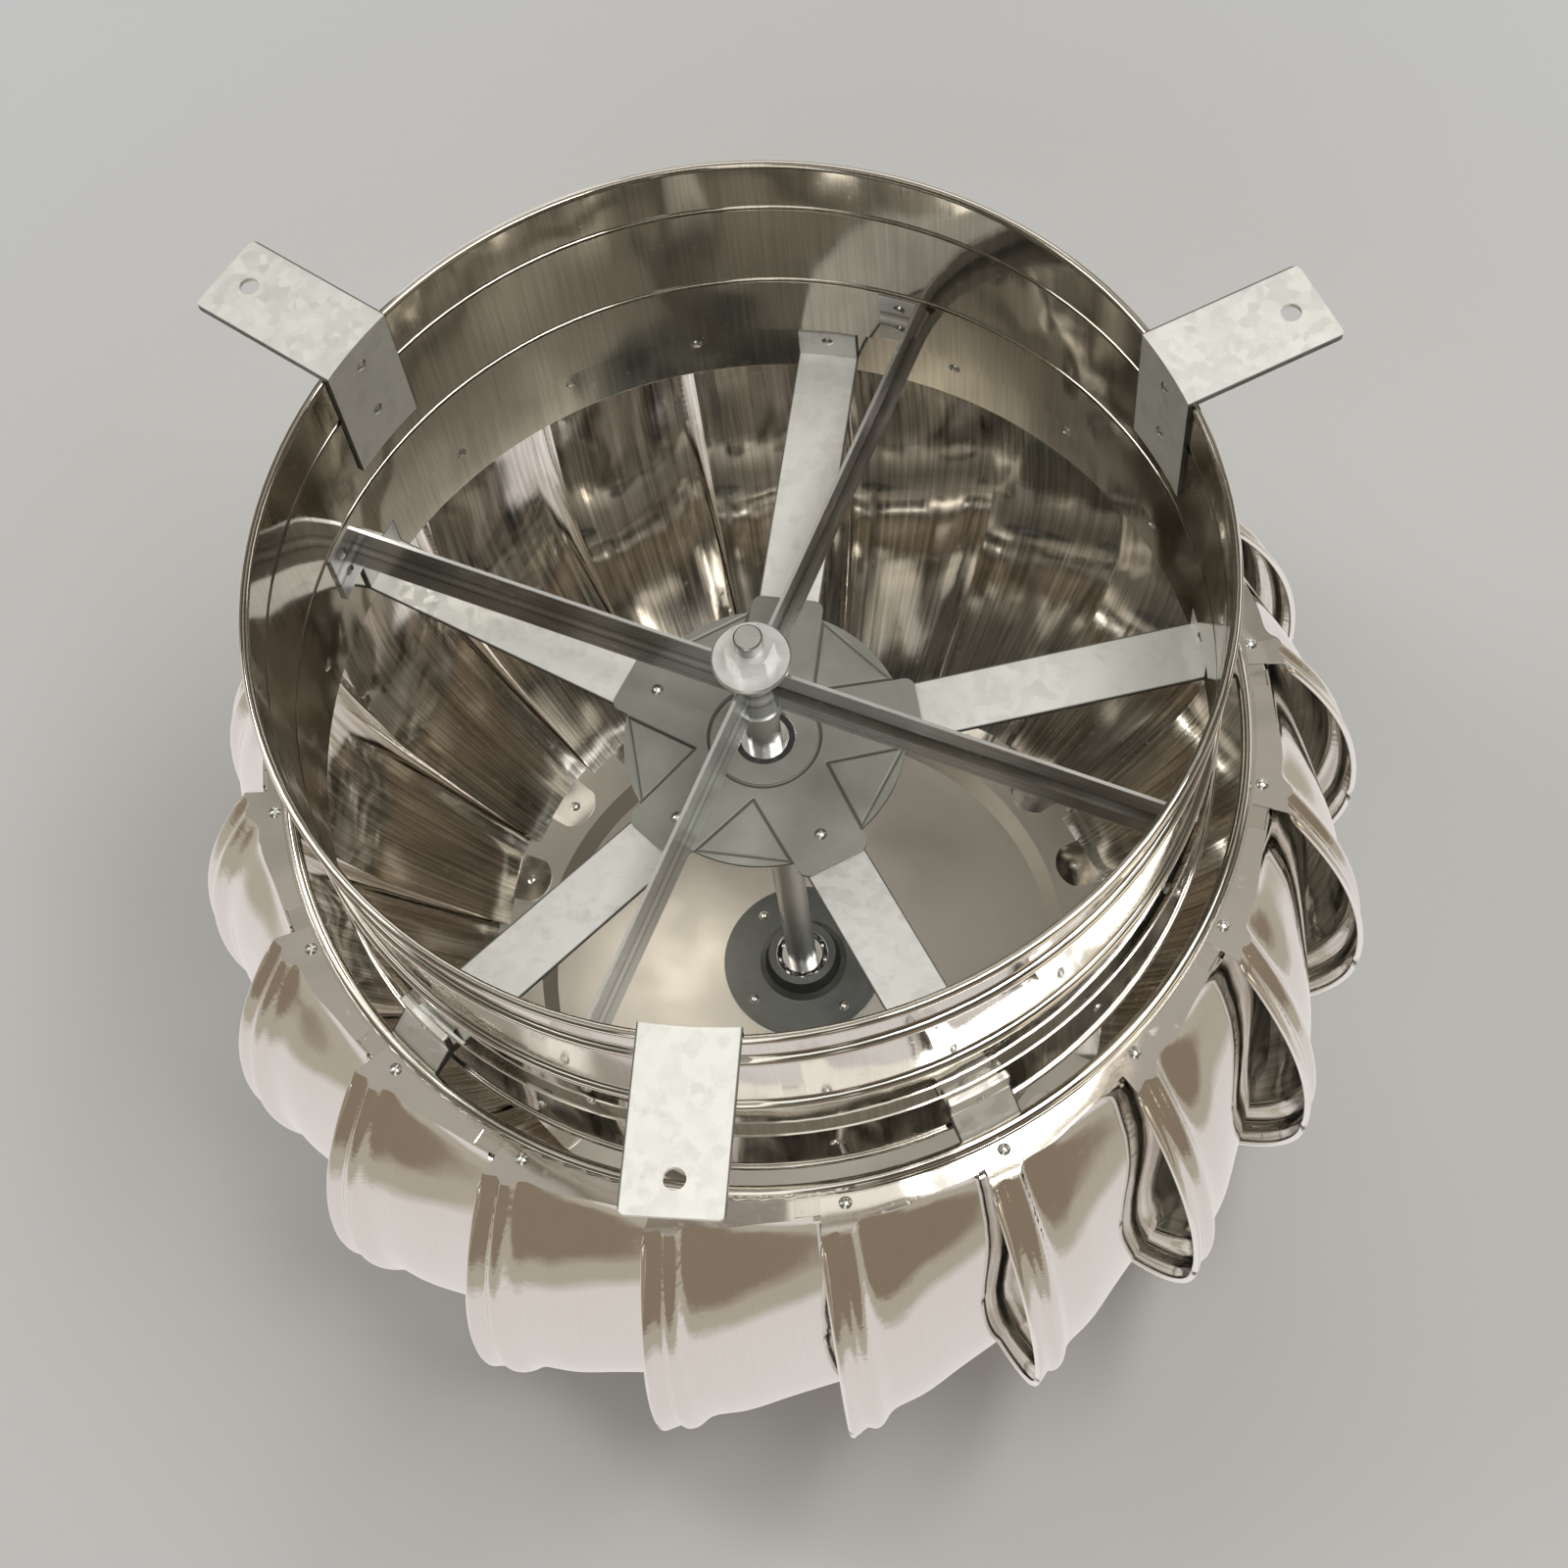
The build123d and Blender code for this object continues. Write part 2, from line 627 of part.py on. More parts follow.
def blade_point(height, along, lift):
    """Point on the blade: along runs 0 to 1 from leading to trailing edge."""
    span = blade_turn + blade_lap
    angle = radians(blade_lead - along * span)
    front = lead_radius(height)
    back = front - inward_step(height)
    lag = along * span / blade_turn
    chord = front + (back - front) * min(lag, 1.0)
    sag = front * (1 - cos(radians(span / 2))) * 4 * along * (1 - along)
    hook = 3.0 * max(0.0, along - 0.82) / 0.18
    rib = rib_rise * max(0.0, 1 - ((along - rib_place) / rib_half) ** 2)
    reach = chord - sag * 0.75 - hook + rib + lift
    return (reach * cos(angle), reach * sin(angle))


stations = (0, 0.035, 0.075, 0.095, 0.12, 0.145, 0.165, 0.3, 0.5, 0.7, 0.85, 1.0)
levels = [blade_height * share for share in (0.0, 0.139, 0.333, belly_share, 0.722, 0.847, 0.939, 1.0)]

with BuildPart() as blade:
    for height in levels:
        tilt = sqrt(1 + lead_slope(height) ** 2)
        with BuildSketch(Plane.XY.offset(tab_base + height)):
            with BuildLine():
                front_line = [blade_point(height, s, 0) for s in stations]
                back_line = [blade_point(height, s, -sheet * tilt) for s in stations]
                l1 = Spline(*front_line)
                l2 = Line(front_line[-1], back_line[-1])
                l3 = Spline(*reversed(back_line))
                l4 = Line(back_line[0], front_line[0])
            make_face()
    loft()
    # the trailing part stays clear of the next blade's tab
    with BuildSketch(Plane.XY.offset(tab_base - 1)):
        with BuildLine():
            far = 420.0
            start = radians(blade_lead - blade_turn + 0.6)
            stop = radians(blade_lead - blade_turn - blade_lap - 6)
            Polyline(
                (0, 0), (far * cos(start), far * sin(start)),
                (far * cos(stop), far * sin(stop)), close=True,
            )
        make_face()
    extrude(amount=1 + 2 * sheet + strip + 2, mode=Mode.SUBTRACT)
    # lower tab riveted under the outer ring
    with BuildSketch(Plane.XY.offset(tab_base)):
        with BuildLine():
            outer_edge = [blade_point(0, s, -0.3) for s in stations if s < 0.79]
            first = radians(blade_lead - 0.4)
            last = atan2(outer_edge[-1][1], outer_edge[-1][0])
            inner_from = (tab_inner_radius * cos(last), tab_inner_radius * sin(last))
            inner_mid = (
                tab_inner_radius * cos((first + last) / 2), tab_inner_radius * sin((first + last) / 2),
            )
            inner_to = (tab_inner_radius * cos(first), tab_inner_radius * sin(first))
            l1 = Spline(*outer_edge)
            l2 = Line(l1 @ 1, inner_from)
            l3 = ThreePointArc(inner_from, inner_mid, inner_to)
            l4 = Line(inner_to, outer_edge[0])
        make_face()
    extrude(amount=sheet)
    with BuildSketch(Plane.XY.offset(tab_base - 1)):
        with Locations((lower_rivet_circle, 0)):
            Circle(hole_radius)
    extrude(amount=sheet + 2, mode=Mode.SUBTRACT)
    # upper tab riveted under the top plate
    with BuildSketch(Plane.XY.offset(crown_level - sheet)):
        wide = 4.6
        centre = radians(-9)
        with BuildLine():
            edge = []
            for share in (-1, -0.5, 0, 0.5, 1):
                angle = centre + radians(wide) * share
                along = (blade_lead - degrees(angle)) / (blade_turn + blade_lap)
                edge.append(blade_point(blade_height, along, -1.4))
            near = upper_rivet_circle - 9
            left = (near + 5) * cos(centre - radians(wide)), (near + 5) * sin(centre - radians(wide))
            right = (near + 5) * cos(centre + radians(wide)), (near + 5) * sin(centre + radians(wide))
            tip = (near - 4) * cos(centre), (near - 4) * sin(centre)
            l1 = Spline(*edge)
            l2 = Line(l1 @ 1, right)
            l3 = ThreePointArc(right, tip, left)
            l4 = Line(left, edge[0])
        make_face()
    extrude(amount=sheet)
    with BuildSketch(Plane.XY.offset(crown_level - sheet - 1)):
        with Locations((upper_rivet_circle * cos(centre), upper_rivet_circle * sin(centre))):
            Circle(hole_radius)
    extrude(amount=sheet + 2, mode=Mode.SUBTRACT)

for index in range(blade_count):
    name = "blade_" + str(index + 1).zfill(2)
    save(blade.part.rotate(Axis.Z, index * 360.0 / blade_count), name)

# ---- rivets of the rotor ----
ring_rivets = []
for turn in plain_turns:
    grip = sheet + 2 * seat_gap
    ring_rivets.append(radial_rivet(grip, ring_inside - seat_gap, row_level, turn))
save_group(ring_rivets, "ring_rivets")

tab_rivets = []
for turn in arm_turns:
    grip = 2 * strip + sheet + 2 * seat_gap
    tab_rivets.append(radial_rivet(grip, ring_inside - strip - seat_gap, row_level, turn))
save_group(tab_rivets, "tab_rivets")

arm_rivets = []
for turn in arm_turns:
    arm_rivets.append(upright_rivet(2 * strip, disc_rivet_circle, disc_base, turn))
    arm_rivets.append(upright_rivet(2 * sheet + strip, lower_rivet_circle, tab_base, turn))
save_group(arm_rivets, "arm_rivets")

plate_rivets = []
for i in range(hub_rivet_count):
    turn = 60 + i * 360.0 / hub_rivet_count
    plate_rivets.append(upright_rivet(strip + sheet, hub_rivet_circle, hub_level - strip, turn))
save_group(plate_rivets, "plate_rivets")

blade_rivets = []
for turn in plain_turns:
    blade_rivets.append(upright_rivet(2 * sheet, lower_rivet_circle, tab_base, turn))
for turn in row_turns:
    blade_rivets.append(upright_rivet(2 * sheet, upper_rivet_circle, crown_level - sheet, turn - 9))
save_group(blade_rivets, "blade_rivets")
print("levels", mouth, cross_base, ring_base, row_level, ring_top, tab_base, crown_level, hub_level)
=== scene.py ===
from math import cos, pi, radians, sin, sqrt

import bmesh
import bpy
from mathutils import Matrix, Vector


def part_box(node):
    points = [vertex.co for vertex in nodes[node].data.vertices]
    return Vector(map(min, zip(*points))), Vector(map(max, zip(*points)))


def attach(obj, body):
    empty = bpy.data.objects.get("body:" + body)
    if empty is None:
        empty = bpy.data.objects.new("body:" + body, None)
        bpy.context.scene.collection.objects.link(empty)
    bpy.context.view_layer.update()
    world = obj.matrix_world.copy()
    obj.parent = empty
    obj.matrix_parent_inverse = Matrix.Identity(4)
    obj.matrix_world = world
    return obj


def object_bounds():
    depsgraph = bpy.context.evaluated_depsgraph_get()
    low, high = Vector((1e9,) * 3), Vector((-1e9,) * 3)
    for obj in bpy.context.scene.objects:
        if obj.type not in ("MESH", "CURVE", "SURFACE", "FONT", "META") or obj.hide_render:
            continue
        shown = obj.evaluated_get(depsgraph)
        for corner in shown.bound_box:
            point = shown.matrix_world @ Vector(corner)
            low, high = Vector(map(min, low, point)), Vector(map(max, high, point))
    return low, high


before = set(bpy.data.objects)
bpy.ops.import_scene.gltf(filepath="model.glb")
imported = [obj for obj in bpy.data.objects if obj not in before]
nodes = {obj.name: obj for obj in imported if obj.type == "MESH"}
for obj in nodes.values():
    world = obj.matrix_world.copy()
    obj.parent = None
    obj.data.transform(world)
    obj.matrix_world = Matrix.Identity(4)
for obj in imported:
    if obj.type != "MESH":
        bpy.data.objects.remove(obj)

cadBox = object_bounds()
print("frame loaded,", len(nodes), "nodes")


class Wire:  # one socket, which adds and multiplies like a number
    def __init__(self, tools, socket):
        self.tools = tools
        self.socket = socket

    def __add__(self, other):
        return self.tools.maths("ADD", self, other)

    def __radd__(self, other):
        return self.tools.maths("ADD", other, self)

    def __sub__(self, other):
        return self.tools.maths("SUBTRACT", self, other)

    def __rsub__(self, other):
        return self.tools.maths("SUBTRACT", other, self)

    def __mul__(self, other):
        return self.tools.maths("MULTIPLY", self, other)

    def __rmul__(self, other):
        return self.tools.maths("MULTIPLY", other, self)

    def __truediv__(self, other):
        return self.tools.maths("DIVIDE", self, other)

    def __mod__(self, other):
        return self.tools.maths("MODULO", self, other)

    def __pow__(self, other):
        return self.tools.maths("POWER", self, other)

    def __neg__(self):
        return 0 - self

    def __abs__(self):
        return self.tools.maths("ABSOLUTE", self)

    def above(self, edge, soft):  # 0 under the edge, 1 over it
        return self.tools.maths("MULTIPLY", self - (edge - soft / 2), 1 / soft, True)

    def near(self, middle, reach):  # 1 at the middle, 0 a reach away
        return self.tools.maths("SUBTRACT", 1, abs(self - middle) / reach, True)


class Tools:  # makes the nodes of one material or world
    def __init__(self, tree):
        self.tree = tree
        tree.nodes.clear()

    def node(self, kind, settings=None, sockets=None, out=0):
        made = self.tree.nodes.new(kind)
        for name, value in (settings or {}).items():
            setattr(made, name, value)
        for name, value in (sockets or {}).items():
            if isinstance(value, Wire):
                self.tree.links.new(value.socket, made.inputs[name])
            else:
                made.inputs[name].default_value = value
        return Wire(self, made.outputs[out])

    def maths(self, kind, first, second=None, clamp=False):
        values = {0: first} if second is None else {0: first, 1: second}
        return self.node("ShaderNodeMath", {"operation": kind, "use_clamp": clamp}, values)

    def mix(self, share, low, high):
        low, high = [(*c, 1) if isinstance(c, tuple) and len(c) == 3 else c for c in (low, high)]
        return self.node("ShaderNodeMix", {"data_type": "RGBA"}, {0: share, 6: low, 7: high}, 2)

    def parts(self, vector, count=3):
        return [self.node("ShaderNodeSeparateXYZ", None, {0: vector}, i) for i in range(count)]

    def place(self):  # the spot, x, y, z, reach from the axis and angle round it, in metres and radians
        spot = self.node("ShaderNodeTexCoord", out="Object")
        x, y, z = self.parts(spot)
        reach = (x * x + y * y) ** 0.5
        return spot, x, y, z, reach, self.maths("ARCTAN2", y, x)

    def noise(self, spot, scale, detail=2.0, rough=0.5):
        sockets = {"Vector": spot, "Scale": scale, "Detail": detail, "Roughness": rough}
        return self.node("ShaderNodeTexNoise", None, sockets)

    def point(self, x, y, z):
        return self.node("ShaderNodeCombineXYZ", None, {0: x, 1: y, 2: z})

    def bump(self, height, depth, strength, under=None):
        sockets = {"Height": height, "Distance": depth, "Strength": strength}
        if under:
            sockets["Normal"] = under
        return self.node("ShaderNodeBump", None, sockets)

    def surface(self, colour, rough, normal, metal):
        sockets = {"Base Color": colour, "Roughness": rough, "Metallic": metal, "Normal": normal}
        self.finish(self.node("ShaderNodeBsdfPrincipled", None, sockets))

    def finish(self, shader, kind="ShaderNodeOutputMaterial"):
        last = self.tree.nodes.new(kind)
        self.tree.links.new(shader.socket, last.inputs[0])


def newFinish(name):
    material = bpy.data.materials.new(name)
    material.use_nodes = True
    return material, Tools(material.node_tree)


def dress(material, names):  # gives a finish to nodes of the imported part
    for name in names:
        for slot in nodes[name].material_slots:
            slot.material = material


def named(*starts):
    return [name for name in nodes if name.startswith(starts)]


# polished stainless sheet: neck and rings, then the blades; on the side facing the axis the colour is painted
# shade with painted streak highlights
ringSheet = {
    "bright": (0.76, 0.74, 0.70), "dim": (0.64, 0.615, 0.57), "smooth": 0.04, "dull": 0.12,
    "innerStreakHighlight": (0.56, 0.53, 0.465), "innerShade": (0.46, 0.43, 0.37), "innerDull": 0.04,
    "waves": 0.006, "grainDepth": 0.00001,
}
bladeSheet = {
    "bright": (0.80, 0.775, 0.745), "dim": (0.73, 0.70, 0.665), "smooth": 0.045, "dull": 0.10,
    "innerStreakHighlight": (0.90, 0.875, 0.82), "innerShade": (0.52, 0.49, 0.44), "innerDull": 0.10,
    "waves": 0.006, "grainDepth": 0.00001,
}


def mirrorFinish(name, look):
    material, t = newFinish(name)
    spot, x, y, z, reach, angle = t.place()
    grain = t.noise(t.point(angle * 90, z * 2.5, reach * 30), 3.0, 1.5, 0.5)  # rolling lines up the wall
    clouds = t.noise(spot, 9.0, 3.0, 0.55)  # handling marks
    specks = t.noise(spot, 160.0, 2.0, 0.6).above(0.68, 0.08)
    streakHighlights = t.noise(t.point(angle * 60, z * 4, reach * 4), 2.0, 2.0, 0.6)
    waves = t.noise(t.point(angle * 1.6, z * 3.0, reach * 4), 3.2, 1.0)
    nx, ny = t.parts(t.node("ShaderNodeTexCoord", out="Normal"), 2)
    inner = (-(nx * x + ny * y) / reach).above(0.05, 0.1)  # the side that looks towards the axis
    front = t.mix((grain * 0.3 + clouds * 0.7).above(0.5, 0.5), look["dim"], look["bright"])
    # painted shade with painted streak highlights on the side facing the axis
    innerShadeAndHighlights = t.mix(streakHighlights.above(0.5, 0.3), look["innerShade"], look["innerStreakHighlight"])
    wear = clouds.above(0.55, 0.3) * 0.8 + grain.above(0.5, 0.4) * 0.2
    rough = look["smooth"] + (look["dull"] - look["smooth"]) * wear + specks * 0.08
    rough = rough + inner * streakHighlights * look["innerDull"]
    normal = t.bump(grain, look["grainDepth"], 0.2, t.bump(waves, look["waves"], 0.25))
    t.surface(t.mix(inner, front, innerShadeAndHighlights), rough, normal, 1.0)
    return material


# turned or rolled steel: lines run round the axis, or along a bar
bearingCup = {
    "bright": (0.24, 0.25, 0.24), "dim": (0.13, 0.14, 0.135), "dull": 0.42, "metal": 0.9, "lines": 110.0,
    "rings": True,
}
satinSheet = {
    "bright": (0.78, 0.755, 0.70), "dim": (0.70, 0.67, 0.61), "dull": 0.40, "metal": 1.0, "lines": 60.0,
    "rings": True,
}
zincPlate = {
    "bright": (0.80, 0.805, 0.79), "dim": (0.64, 0.65, 0.64), "dull": 0.38, "metal": 0.9, "lines": 900.0,
    "rings": False,
}
hemSteel = {
    "bright": (0.95, 0.94, 0.92), "dim": (0.86, 0.85, 0.82), "dull": 0.20, "metal": 1.0, "lines": 40.0,
    "rings": False,
}
rivetMetal = {
    "bright": (0.84, 0.84, 0.82), "dim": (0.62, 0.62, 0.60), "dull": 0.24, "metal": 1.0, "lines": 500.0,
    "rings": False,
}
shaftSteel = {
    "bright": (0.66, 0.66, 0.64), "dim": (0.42, 0.42, 0.41), "dull": 0.34, "metal": 1.0, "lines": 700.0,
    "rings": False,
}
groundSteel = {
    "bright": (0.86, 0.86, 0.85), "dim": (0.70, 0.70, 0.70), "dull": 0.12, "metal": 1.0, "lines": 1200.0,
    "rings": False,
}


def drawnFinish(name, look):
    material, t = newFinish(name)
    spot, x, y, z, reach, angle = t.place()
    around = reach * (look["lines"] if look["rings"] else 8.0)
    across = z if look["rings"] else reach * 0.02 + z
    grain = t.noise(t.point(angle * 2, around, across * look["lines"]), 1.0, 3.0, 0.6)
    clouds = t.noise(spot, 30.0, 4.0, 0.6)
    colour = t.mix((grain * 0.5 + clouds * 0.5).above(0.5, 0.6), look["dim"], look["bright"])
    rough = look["dull"] + (clouds - 0.5) * 0.2 + (grain - 0.5) * 0.12
    t.surface(colour, rough, t.bump(grain, 0.00025, 0.25, t.bump(clouds, 0.0005, 0.2)), look["metal"])
    return material


# the line colour is painted shade in the pressed creases
hubSheet = {
    "bright": (0.36, 0.365, 0.33), "dim": (0.26, 0.265, 0.235), "line": (0.10, 0.10, 0.09), "dull": 0.5,
    "metal": 0.8, "sectors": 5, "apex": 0.040, "edge": 0.075, "spread": 0.771, "ring": 0.032,
    "lineWidth": 0.0013,
}


def hubFinish(name, look):  # pressed ring and wedges with painted shade in their creases
    material, t = newFinish(name)
    spot, x, y, z, reach, angle = t.place()
    turn = 2 * pi / look["sectors"]
    local = (angle + 4 * pi + turn / 2) % turn - turn / 2
    out = reach * t.maths("COSINE", local)
    across = abs(reach * t.maths("SINE", local))
    side = (across - (out - look["apex"]) * look["spread"]) * (1 / sqrt(1 + look["spread"] ** 2))
    span = out.above(look["apex"] - 0.001, 0.002) * (1 - out.above(look["edge"] + 0.001, 0.002))
    flank = side.near(0.0, look["lineWidth"]) * span
    base = out.near(look["edge"], look["lineWidth"]) * (1 - side.above(0.0, 0.001))
    crease = t.maths("MAXIMUM", flank, reach.near(look["ring"], look["lineWidth"]))
    crease = t.maths("MAXIMUM", crease, base * 0.6)
    grain = t.noise(t.point(angle * 2, reach * 60, z * 200), 1.0, 4.0, 0.6)
    clouds = t.noise(spot, 34.0, 5.0, 0.65)
    colour = t.mix((grain * 0.3 + clouds * 0.7).above(0.5, 0.5), look["dim"], look["bright"])
    # painted shade: the crease lines are darkened in colour
    colour = t.mix(crease * 0.85, colour, look["line"])
    rough = look["dull"] + (clouds - 0.5) * 0.2 + crease * 0.2
    normal = t.bump(1 - crease, 0.0012, 0.6, t.bump(clouds, 0.0004, 0.25))
    t.surface(colour, rough, normal, look["metal"])
    return material


# the rim colour is a painted highlight, and the line colour is painted shade beside the groove
crossStrip = {
    "bright": (0.66, 0.67, 0.67), "dim": (0.36, 0.37, 0.375), "line": (0.12, 0.12, 0.12),
    "rim": (0.80, 0.81, 0.81), "dull": 0.24, "metal": 0.95, "groove": 0.006,
    "low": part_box("cross_arm_1")[0].z, "high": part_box("cross_arm_1")[1].z,
}


def crossFinish(name, look):  # rolled strip with painted highlights along its edges and groove middle, and painted shade along the groove's borders
    material, t = newFinish(name)
    spot, x, y, z, reach, angle = t.place()
    middle = (look["low"] + look["high"]) / 2
    lines = z.near(middle - look["groove"], 0.0022) + z.near(middle + look["groove"], 0.0022)
    rims = z.near(look["low"], 0.0025) + z.near(look["high"], 0.0025) + z.near(middle, 0.003)
    drawn = t.noise(t.point(reach * 3, z * 420, 0.0), 1.0, 4.0, 0.6)
    clouds = t.noise(spot, 26.0, 4.0, 0.6)
    colour = t.mix((drawn * 0.55 + clouds * 0.45).above(0.5, 0.4), look["dim"], look["bright"])
    # painted highlights along both edges and the groove's middle
    colour = t.mix(rims * 0.8, colour, look["rim"])
    # painted shade along the groove's borders
    colour = t.mix(lines * 0.75, colour, look["line"])
    rough = look["dull"] + (clouds - 0.5) * 0.16 + (drawn - 0.5) * 0.14
    normal = t.bump(drawn, 0.0002, 0.25, t.bump(clouds, 0.0004, 0.15))
    t.surface(colour, rough, normal, look["metal"])
    return material


galvanised = {
    "bright": (0.84, 0.84, 0.81), "dim": (0.70, 0.71, 0.69), "dirt": (0.42, 0.41, 0.38),
    # the edge colour is painted shade along the sheared edges
    "edge": (0.07, 0.07, 0.065), "dull": 0.52, "metal": 0.9, "spangle": 170.0,
}
armStrip = {**galvanised, "count": 5, "first": 36.0, "halfWidth": 0.018}
footStrip = {**galvanised, "count": 3, "first": 43.5, "halfWidth": 0.025}


def stripFinish(name, look):  # galvanised strips round the axis, with painted shade along the sheared edges
    material, t = newFinish(name)
    spot, x, y, z, reach, angle = t.place()
    turn = 2 * pi / look["count"]
    local = (angle + (4 * pi + turn / 2 - radians(look["first"]))) % turn - turn / 2
    edge = abs(reach * t.maths("SINE", local)).above(look["halfWidth"] - 0.0008, 0.0006)
    spangle = {"Vector": spot, "Scale": look["spangle"]}
    cell = t.node("ShaderNodeTexVoronoi", {"feature": "F1"}, spangle, "Color")
    tone = t.node("ShaderNodeSeparateColor", None, {0: cell})
    clouds = t.noise(spot, 22.0, 4.0, 0.6)
    dirt = t.noise(spot, 60.0, 5.0, 0.7).above(0.60, 0.16)
    colour = t.mix(tone * 0.35 + clouds * 0.65, look["dim"], look["bright"])
    colour = t.mix(dirt * 0.22, colour, look["dirt"])
    # painted shade: the sheared edges are darkened in colour
    colour = t.mix(edge * 0.9, colour, look["edge"])
    rough = look["dull"] + (tone - 0.5) * 0.16 + dirt * 0.12
    normal = t.bump(tone, 0.0004, 0.12, t.bump(t.noise(spot, 420.0, 2.0), 0.0003, 0.2))
    t.surface(colour, rough, normal, look["metal"])
    return material


sealRubber = {"clean": (0.018, 0.018, 0.018), "dusty": (0.06, 0.058, 0.055), "dull": 0.45}


def rubberFinish(name, look):
    material, t = newFinish(name)
    dust = t.noise(t.place()[0], 180.0, 3.0, 0.6)
    colour = t.mix(dust.above(0.6, 0.3), look["clean"], look["dusty"])
    t.surface(colour, look["dull"] + dust * 0.25, t.bump(dust, 0.0002, 0.3), 0.0)
    return material


rivets = [name for name in nodes if name.endswith("_rivets")]
rolling = [name for name in nodes if name.endswith(("_race", "_balls"))]
dress(mirrorFinish("bladeSheet", bladeSheet), [name for name in named("blade_") if name not in rivets])
dress(mirrorFinish("polishedSheet", ringSheet), ["collar", "inner_ring", "outer_ring"])
dress(stripFinish("footStrip", footStrip), named("foot_bracket"))
dress(stripFinish("armStrip", armStrip), named("ring_bracket", "rotor_arm"))
dress(crossFinish("crossStrip", crossStrip), ["cross_sleeve", *named("cross_arm")])
dress(hubFinish("hubSheet", hubSheet), ["hub_disc"])
dress(drawnFinish("bearingCup", bearingCup), ["bearing_plate"])
dress(drawnFinish("satinSheet", satinSheet), ["top_plate"])
dress(drawnFinish("zincPlate", zincPlate), ["shaft_nut", "flanged_washer"])
dress(drawnFinish("rivetMetal", rivetMetal), rivets)
dress(drawnFinish("shaftSteel", shaftSteel), ["shaft"])
dress(drawnFinish("groundSteel", groundSteel), rolling)
dress(rubberFinish("sealRubber", sealRubber), ["lower_seal"])
print("finishes made")

# rolled hems along the blades' leading edges: the line is a share of the blade's height, reaches in metres
bladeHem = {
    "blades": 20, "low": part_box("blade_01")[0].z, "high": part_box("blade_01")[1].z, "lead": 3.0,
    "footReach": 0.298, "bellyReach": 0.361, "crownReach": 0.222, "bellyShare": 0.5472,
    "start": 0.012, "length": 0.974, "thick": 0.0019, "steps": 44, "sides": 10,
}


def leadReach(share, look):  # how far the leading edge stands from the axis
    if share < look["bellyShare"]:
        part = (look["bellyShare"] - share) / look["bellyShare"]
        return look["bellyReach"] - (look["bellyReach"] - look["footReach"]) * part ** 2
    part = (share - look["bellyShare"]) / (1 - look["bellyShare"])
    return look["bellyReach"] - (look["bellyReach"] - look["crownReach"]) * part ** 2.3


def meshObject(name, form):
    mesh = bpy.data.meshes.new(name)
    form.to_mesh(mesh)
    form.free()
    made = bpy.data.objects.new(name, mesh)
    bpy.context.scene.collection.objects.link(made)
    return made


def sweep(name, points, thick, sides):  # round bar along a line of points, thinner at both ends
    form = bmesh.new()
    turns = [2 * pi * k / sides for k in range(sides)]
    loops = []
    for i, point in enumerate(points):
        ahead = (points[min(i + 1, len(points) - 1)] - points[max(i - 1, 0)]).normalized()
        side = ahead.cross(Vector((0, 0, 1))).normalized()
        rise = side.cross(ahead)
        size = thick * min(1.0, 0.25 + 0.9 * min(i, len(points) - 1 - i))
        loops.append([form.verts.new(point + size * (cos(a) * side + sin(a) * rise)) for a in turns])
    for first, second in zip(loops, loops[1:]):
        for k in range(sides):
            after = (k + 1) % sides
            form.faces.new((first[k], first[after], second[after], second[k])).smooth = True
    form.faces.new(loops[0][::-1])
    form.faces.new(loops[-1])
    return meshObject(name, form)


hemFinish = drawnFinish("hemSteel", hemSteel)
for index in range(bladeHem["blades"]):
    angle = radians(bladeHem["lead"] + index * 360 / bladeHem["blades"])
    line = []
    for step in range(bladeHem["steps"] + 1):
        share = bladeHem["start"] + bladeHem["length"] * step / bladeHem["steps"]
        reach = leadReach(share, bladeHem) - bladeHem["thick"]
        height = bladeHem["low"] + share * (bladeHem["high"] - bladeHem["low"])
        line.append(Vector((reach * cos(angle), reach * sin(angle), height)))
    hem = sweep("blade_hem_" + str(index + 1).zfill(2), line, bladeHem["thick"], bladeHem["sides"])
    hem.data.materials.append(hemFinish)
    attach(hem, "rotor")
print("hems made")

# what the polished steel mirrors; slopes are the upward part of a direction, from -1 to 1
room = {
    "backdrop": (0.60, 0.61, 0.62, 1), "floorSheen": (0.80, 0.758, 0.733), "skirting": (0.50, 0.46, 0.375),
    "wall": (0.28, 0.22, 0.162), "below": (0.105, 0.098, 0.08), "panel": (1.35, 1.31, 1.23),
    "overhead": (0.46, 0.43, 0.375), "skirtingSlope": 0.55, "floorSlope": 0.68, "belowSlope": 0.24,
    "overheadSlope": 0.86,
    # each window: its middle round the axis, half width, lowest and highest slope, colour
    "windows": [
        (-0.85, 0.30, -0.12, 0.17, (1.35, 1.28, 1.18)),
        (-2.50, 0.34, -0.15, 0.34, (1.35, 1.15, 0.82)),
        (0.35, 0.22, -0.10, 0.50, (1.0, 0.96, 0.9)),
        (1.35, 0.16, -0.30, 0.45, (1.5, 1.45, 1.35)),
        (2.55, 0.26, -0.10, 0.40, (1.2, 1.15, 1.1)),
    ],
}
world = bpy.data.worlds.new("studio")
bpy.context.scene.world = world
world.use_nodes = True
t = Tools(world.node_tree)
way = t.node("ShaderNodeTexCoord", out="Generated")
wx, wy, wz = t.parts(way)
turn = t.maths("ARCTAN2", wy, wx)
wobble = t.noise(way, 3.0, 1.0) * 0.05 - 0.025
shade = t.mix((wz + wobble).above(room["skirtingSlope"], 0.05), room["wall"], room["skirting"])
shade = t.mix((wz + wobble).above(room["floorSlope"], 0.06), shade, room["floorSheen"])
for middle, reach, low, high, colour in room["windows"]:
    pane = (turn + wobble).near(middle, reach).above(0.12, 0.2)
    pane = pane * wz.near((low + high) / 2, (high - low) / 2).above(0.12, 0.2)
    shade = t.mix(pane, shade, colour)
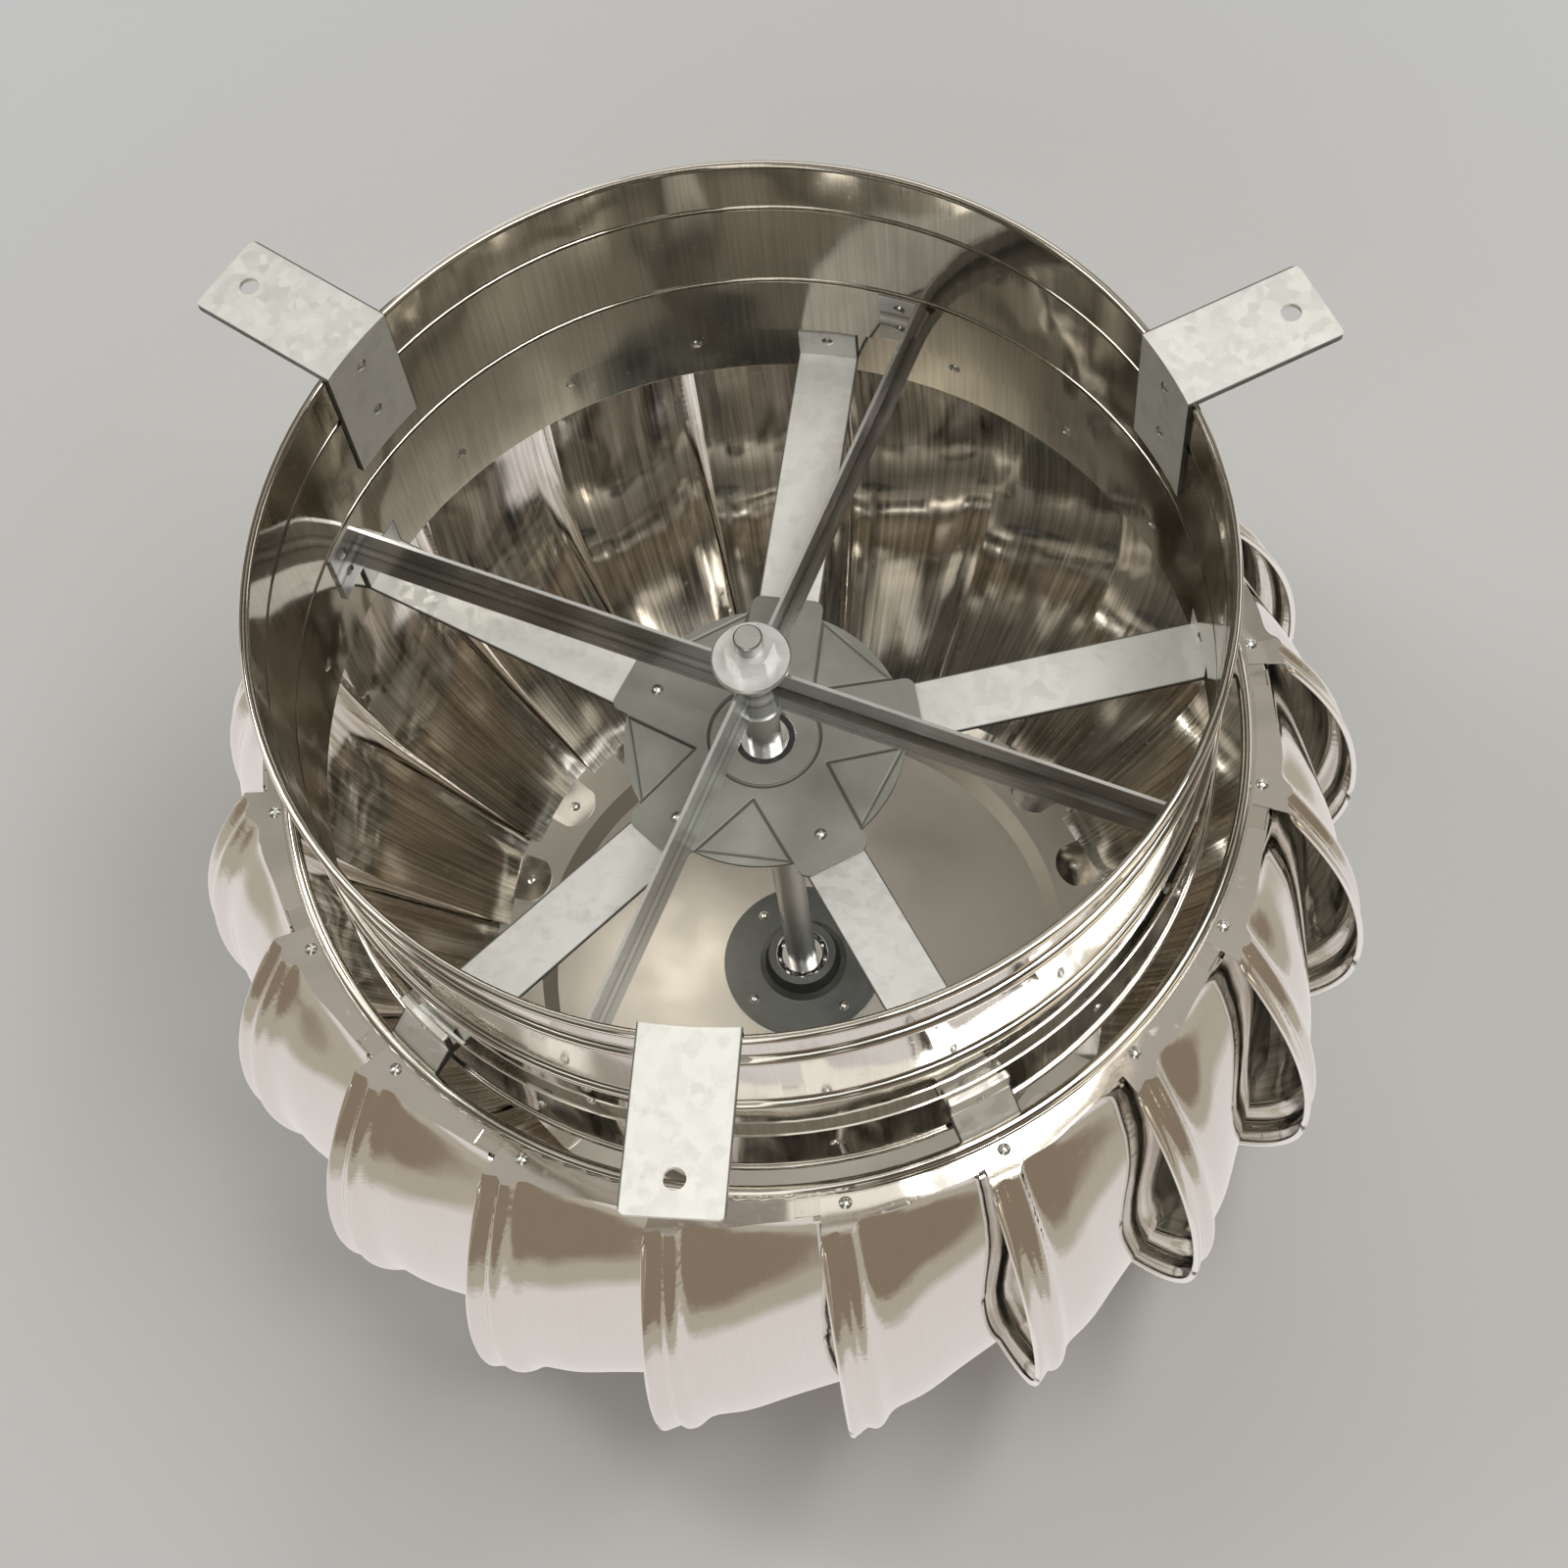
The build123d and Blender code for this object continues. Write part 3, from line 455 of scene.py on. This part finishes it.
rows = t.noise(t.point(wx * 2.0, wy * 1.1, 3.0), 1.7, 0.0).above(0.60, 0.05)
under = t.mix((-wz).above(room["overheadSlope"], 0.08), room["below"], room["overhead"])
under = t.mix(rows, under, room["panel"])
shade = t.mix((-wz).above(room["belowSlope"], 0.10), shade, under)
seen = t.node("ShaderNodeLightPath", out="Is Camera Ray")
lit = t.node("ShaderNodeBackground", None, {0: shade, 1: 1.0})
plain = t.node("ShaderNodeBackground", None, {0: room["backdrop"], 1: 1.0})
t.finish(t.node("ShaderNodeMixShader", None, {0: seen, 1: lit, 2: plain}), "ShaderNodeOutputWorld")
bpy.context.scene.view_settings.view_transform = "Standard"

lights = {
    "underKey": {
        "spot": (-0.8, -0.3, -2.1), "aim": (0, 0, 0.25), "size": (1.5, 0.5), "power": 26, "mirrored": True,
    },
    "underFill": {
        "spot": (1.3, 0.6, -1.7), "aim": (0, 0, 0.25), "size": (0.35, 1.2), "power": 9, "mirrored": True,
    },
    "overKey": {
        "spot": (1.2, -1.4, 2.2), "aim": (0, 0, 0.3), "size": (1.2, 1.0), "power": 40, "mirrored": False,
    },
}
for name, look in lights.items():
    light = bpy.data.lights.new(name, "AREA")
    light.shape = "RECTANGLE"
    light.size, light.size_y = look["size"]
    light.energy = look["power"]
    light.color = (1, 0.98, 0.95)
    made = bpy.data.objects.new(name, light)
    made.location = look["spot"]
    made.rotation_mode = "QUATERNION"
    made.rotation_quaternion = (Vector(look["aim"]) - Vector(look["spot"])).to_track_quat("-Z", "Y")
    made.visible_glossy = look["mirrored"]
    bpy.context.scene.collection.objects.link(made)

# two discs: one at the feet is seen only from above, one at the top plate only from below and fades out
floors = {
    "standing": {
        "level": cadBox[0].z - 0.0004, "reach": 9.0, "fromBelow": False, "tone": (0.66, 0.67, 0.68, 1),
    },
    "resting": {
        "level": cadBox[1].z + 0.0004, "reach": 1.6, "fromBelow": True, "tone": (0.60, 0.61, 0.62, 1),
    },
}
discSides = 48
for name, look in floors.items():
    material, t = newFinish(name + "Floor")
    spot, x, y, z, reach, angle = t.place()
    hide = t.node("ShaderNodeNewGeometry", out="Backfacing")
    if look["fromBelow"]:
        hide = t.maths("MAXIMUM", hide, reach.above(look["reach"] * 0.7, look["reach"] * 0.5))
    solid = t.node("ShaderNodeBsdfPrincipled", None, {"Base Color": look["tone"], "Roughness": 0.9})
    clear = t.node("ShaderNodeBsdfTransparent")
    t.finish(t.node("ShaderNodeMixShader", None, {0: hide, 1: solid, 2: clear}))
    form = bmesh.new()
    ring = []
    for i in range(discSides):
        around = 2 * pi * i / discSides
        ring.append(form.verts.new((look["reach"] * cos(around), look["reach"] * sin(around), look["level"])))
    form.faces.new(ring[::-1] if look["fromBelow"] else ring)
    made = meshObject(name + "Floor", form)
    made.data.materials.append(material)
    made.visible_shadow = made.visible_glossy = made.visible_diffuse = made.visible_transmission = False

viewpoint = {
    "eye": (0.0, -0.67053, -1.16685), "ahead": (-0.00411, 0.42318, 0.90604),
    "above": (-0.17079, 0.89243, -0.41760), "lens": 61.1,
}
camera = bpy.data.objects.new("camera", bpy.data.cameras.new("camera"))
camera.data.lens = viewpoint["lens"]
camera.data.sensor_width = 36
ahead = Vector(viewpoint["ahead"]).normalized()
side = ahead.cross(Vector(viewpoint["above"])).normalized()
facing = Matrix((side, side.cross(ahead), -ahead)).transposed().to_4x4()
camera.matrix_world = Matrix.Translation(Vector(viewpoint["eye"])) @ facing
camera.data.clip_start = 0.01
bpy.context.scene.collection.objects.link(camera)
bpy.context.scene.camera = camera
print("studio made")
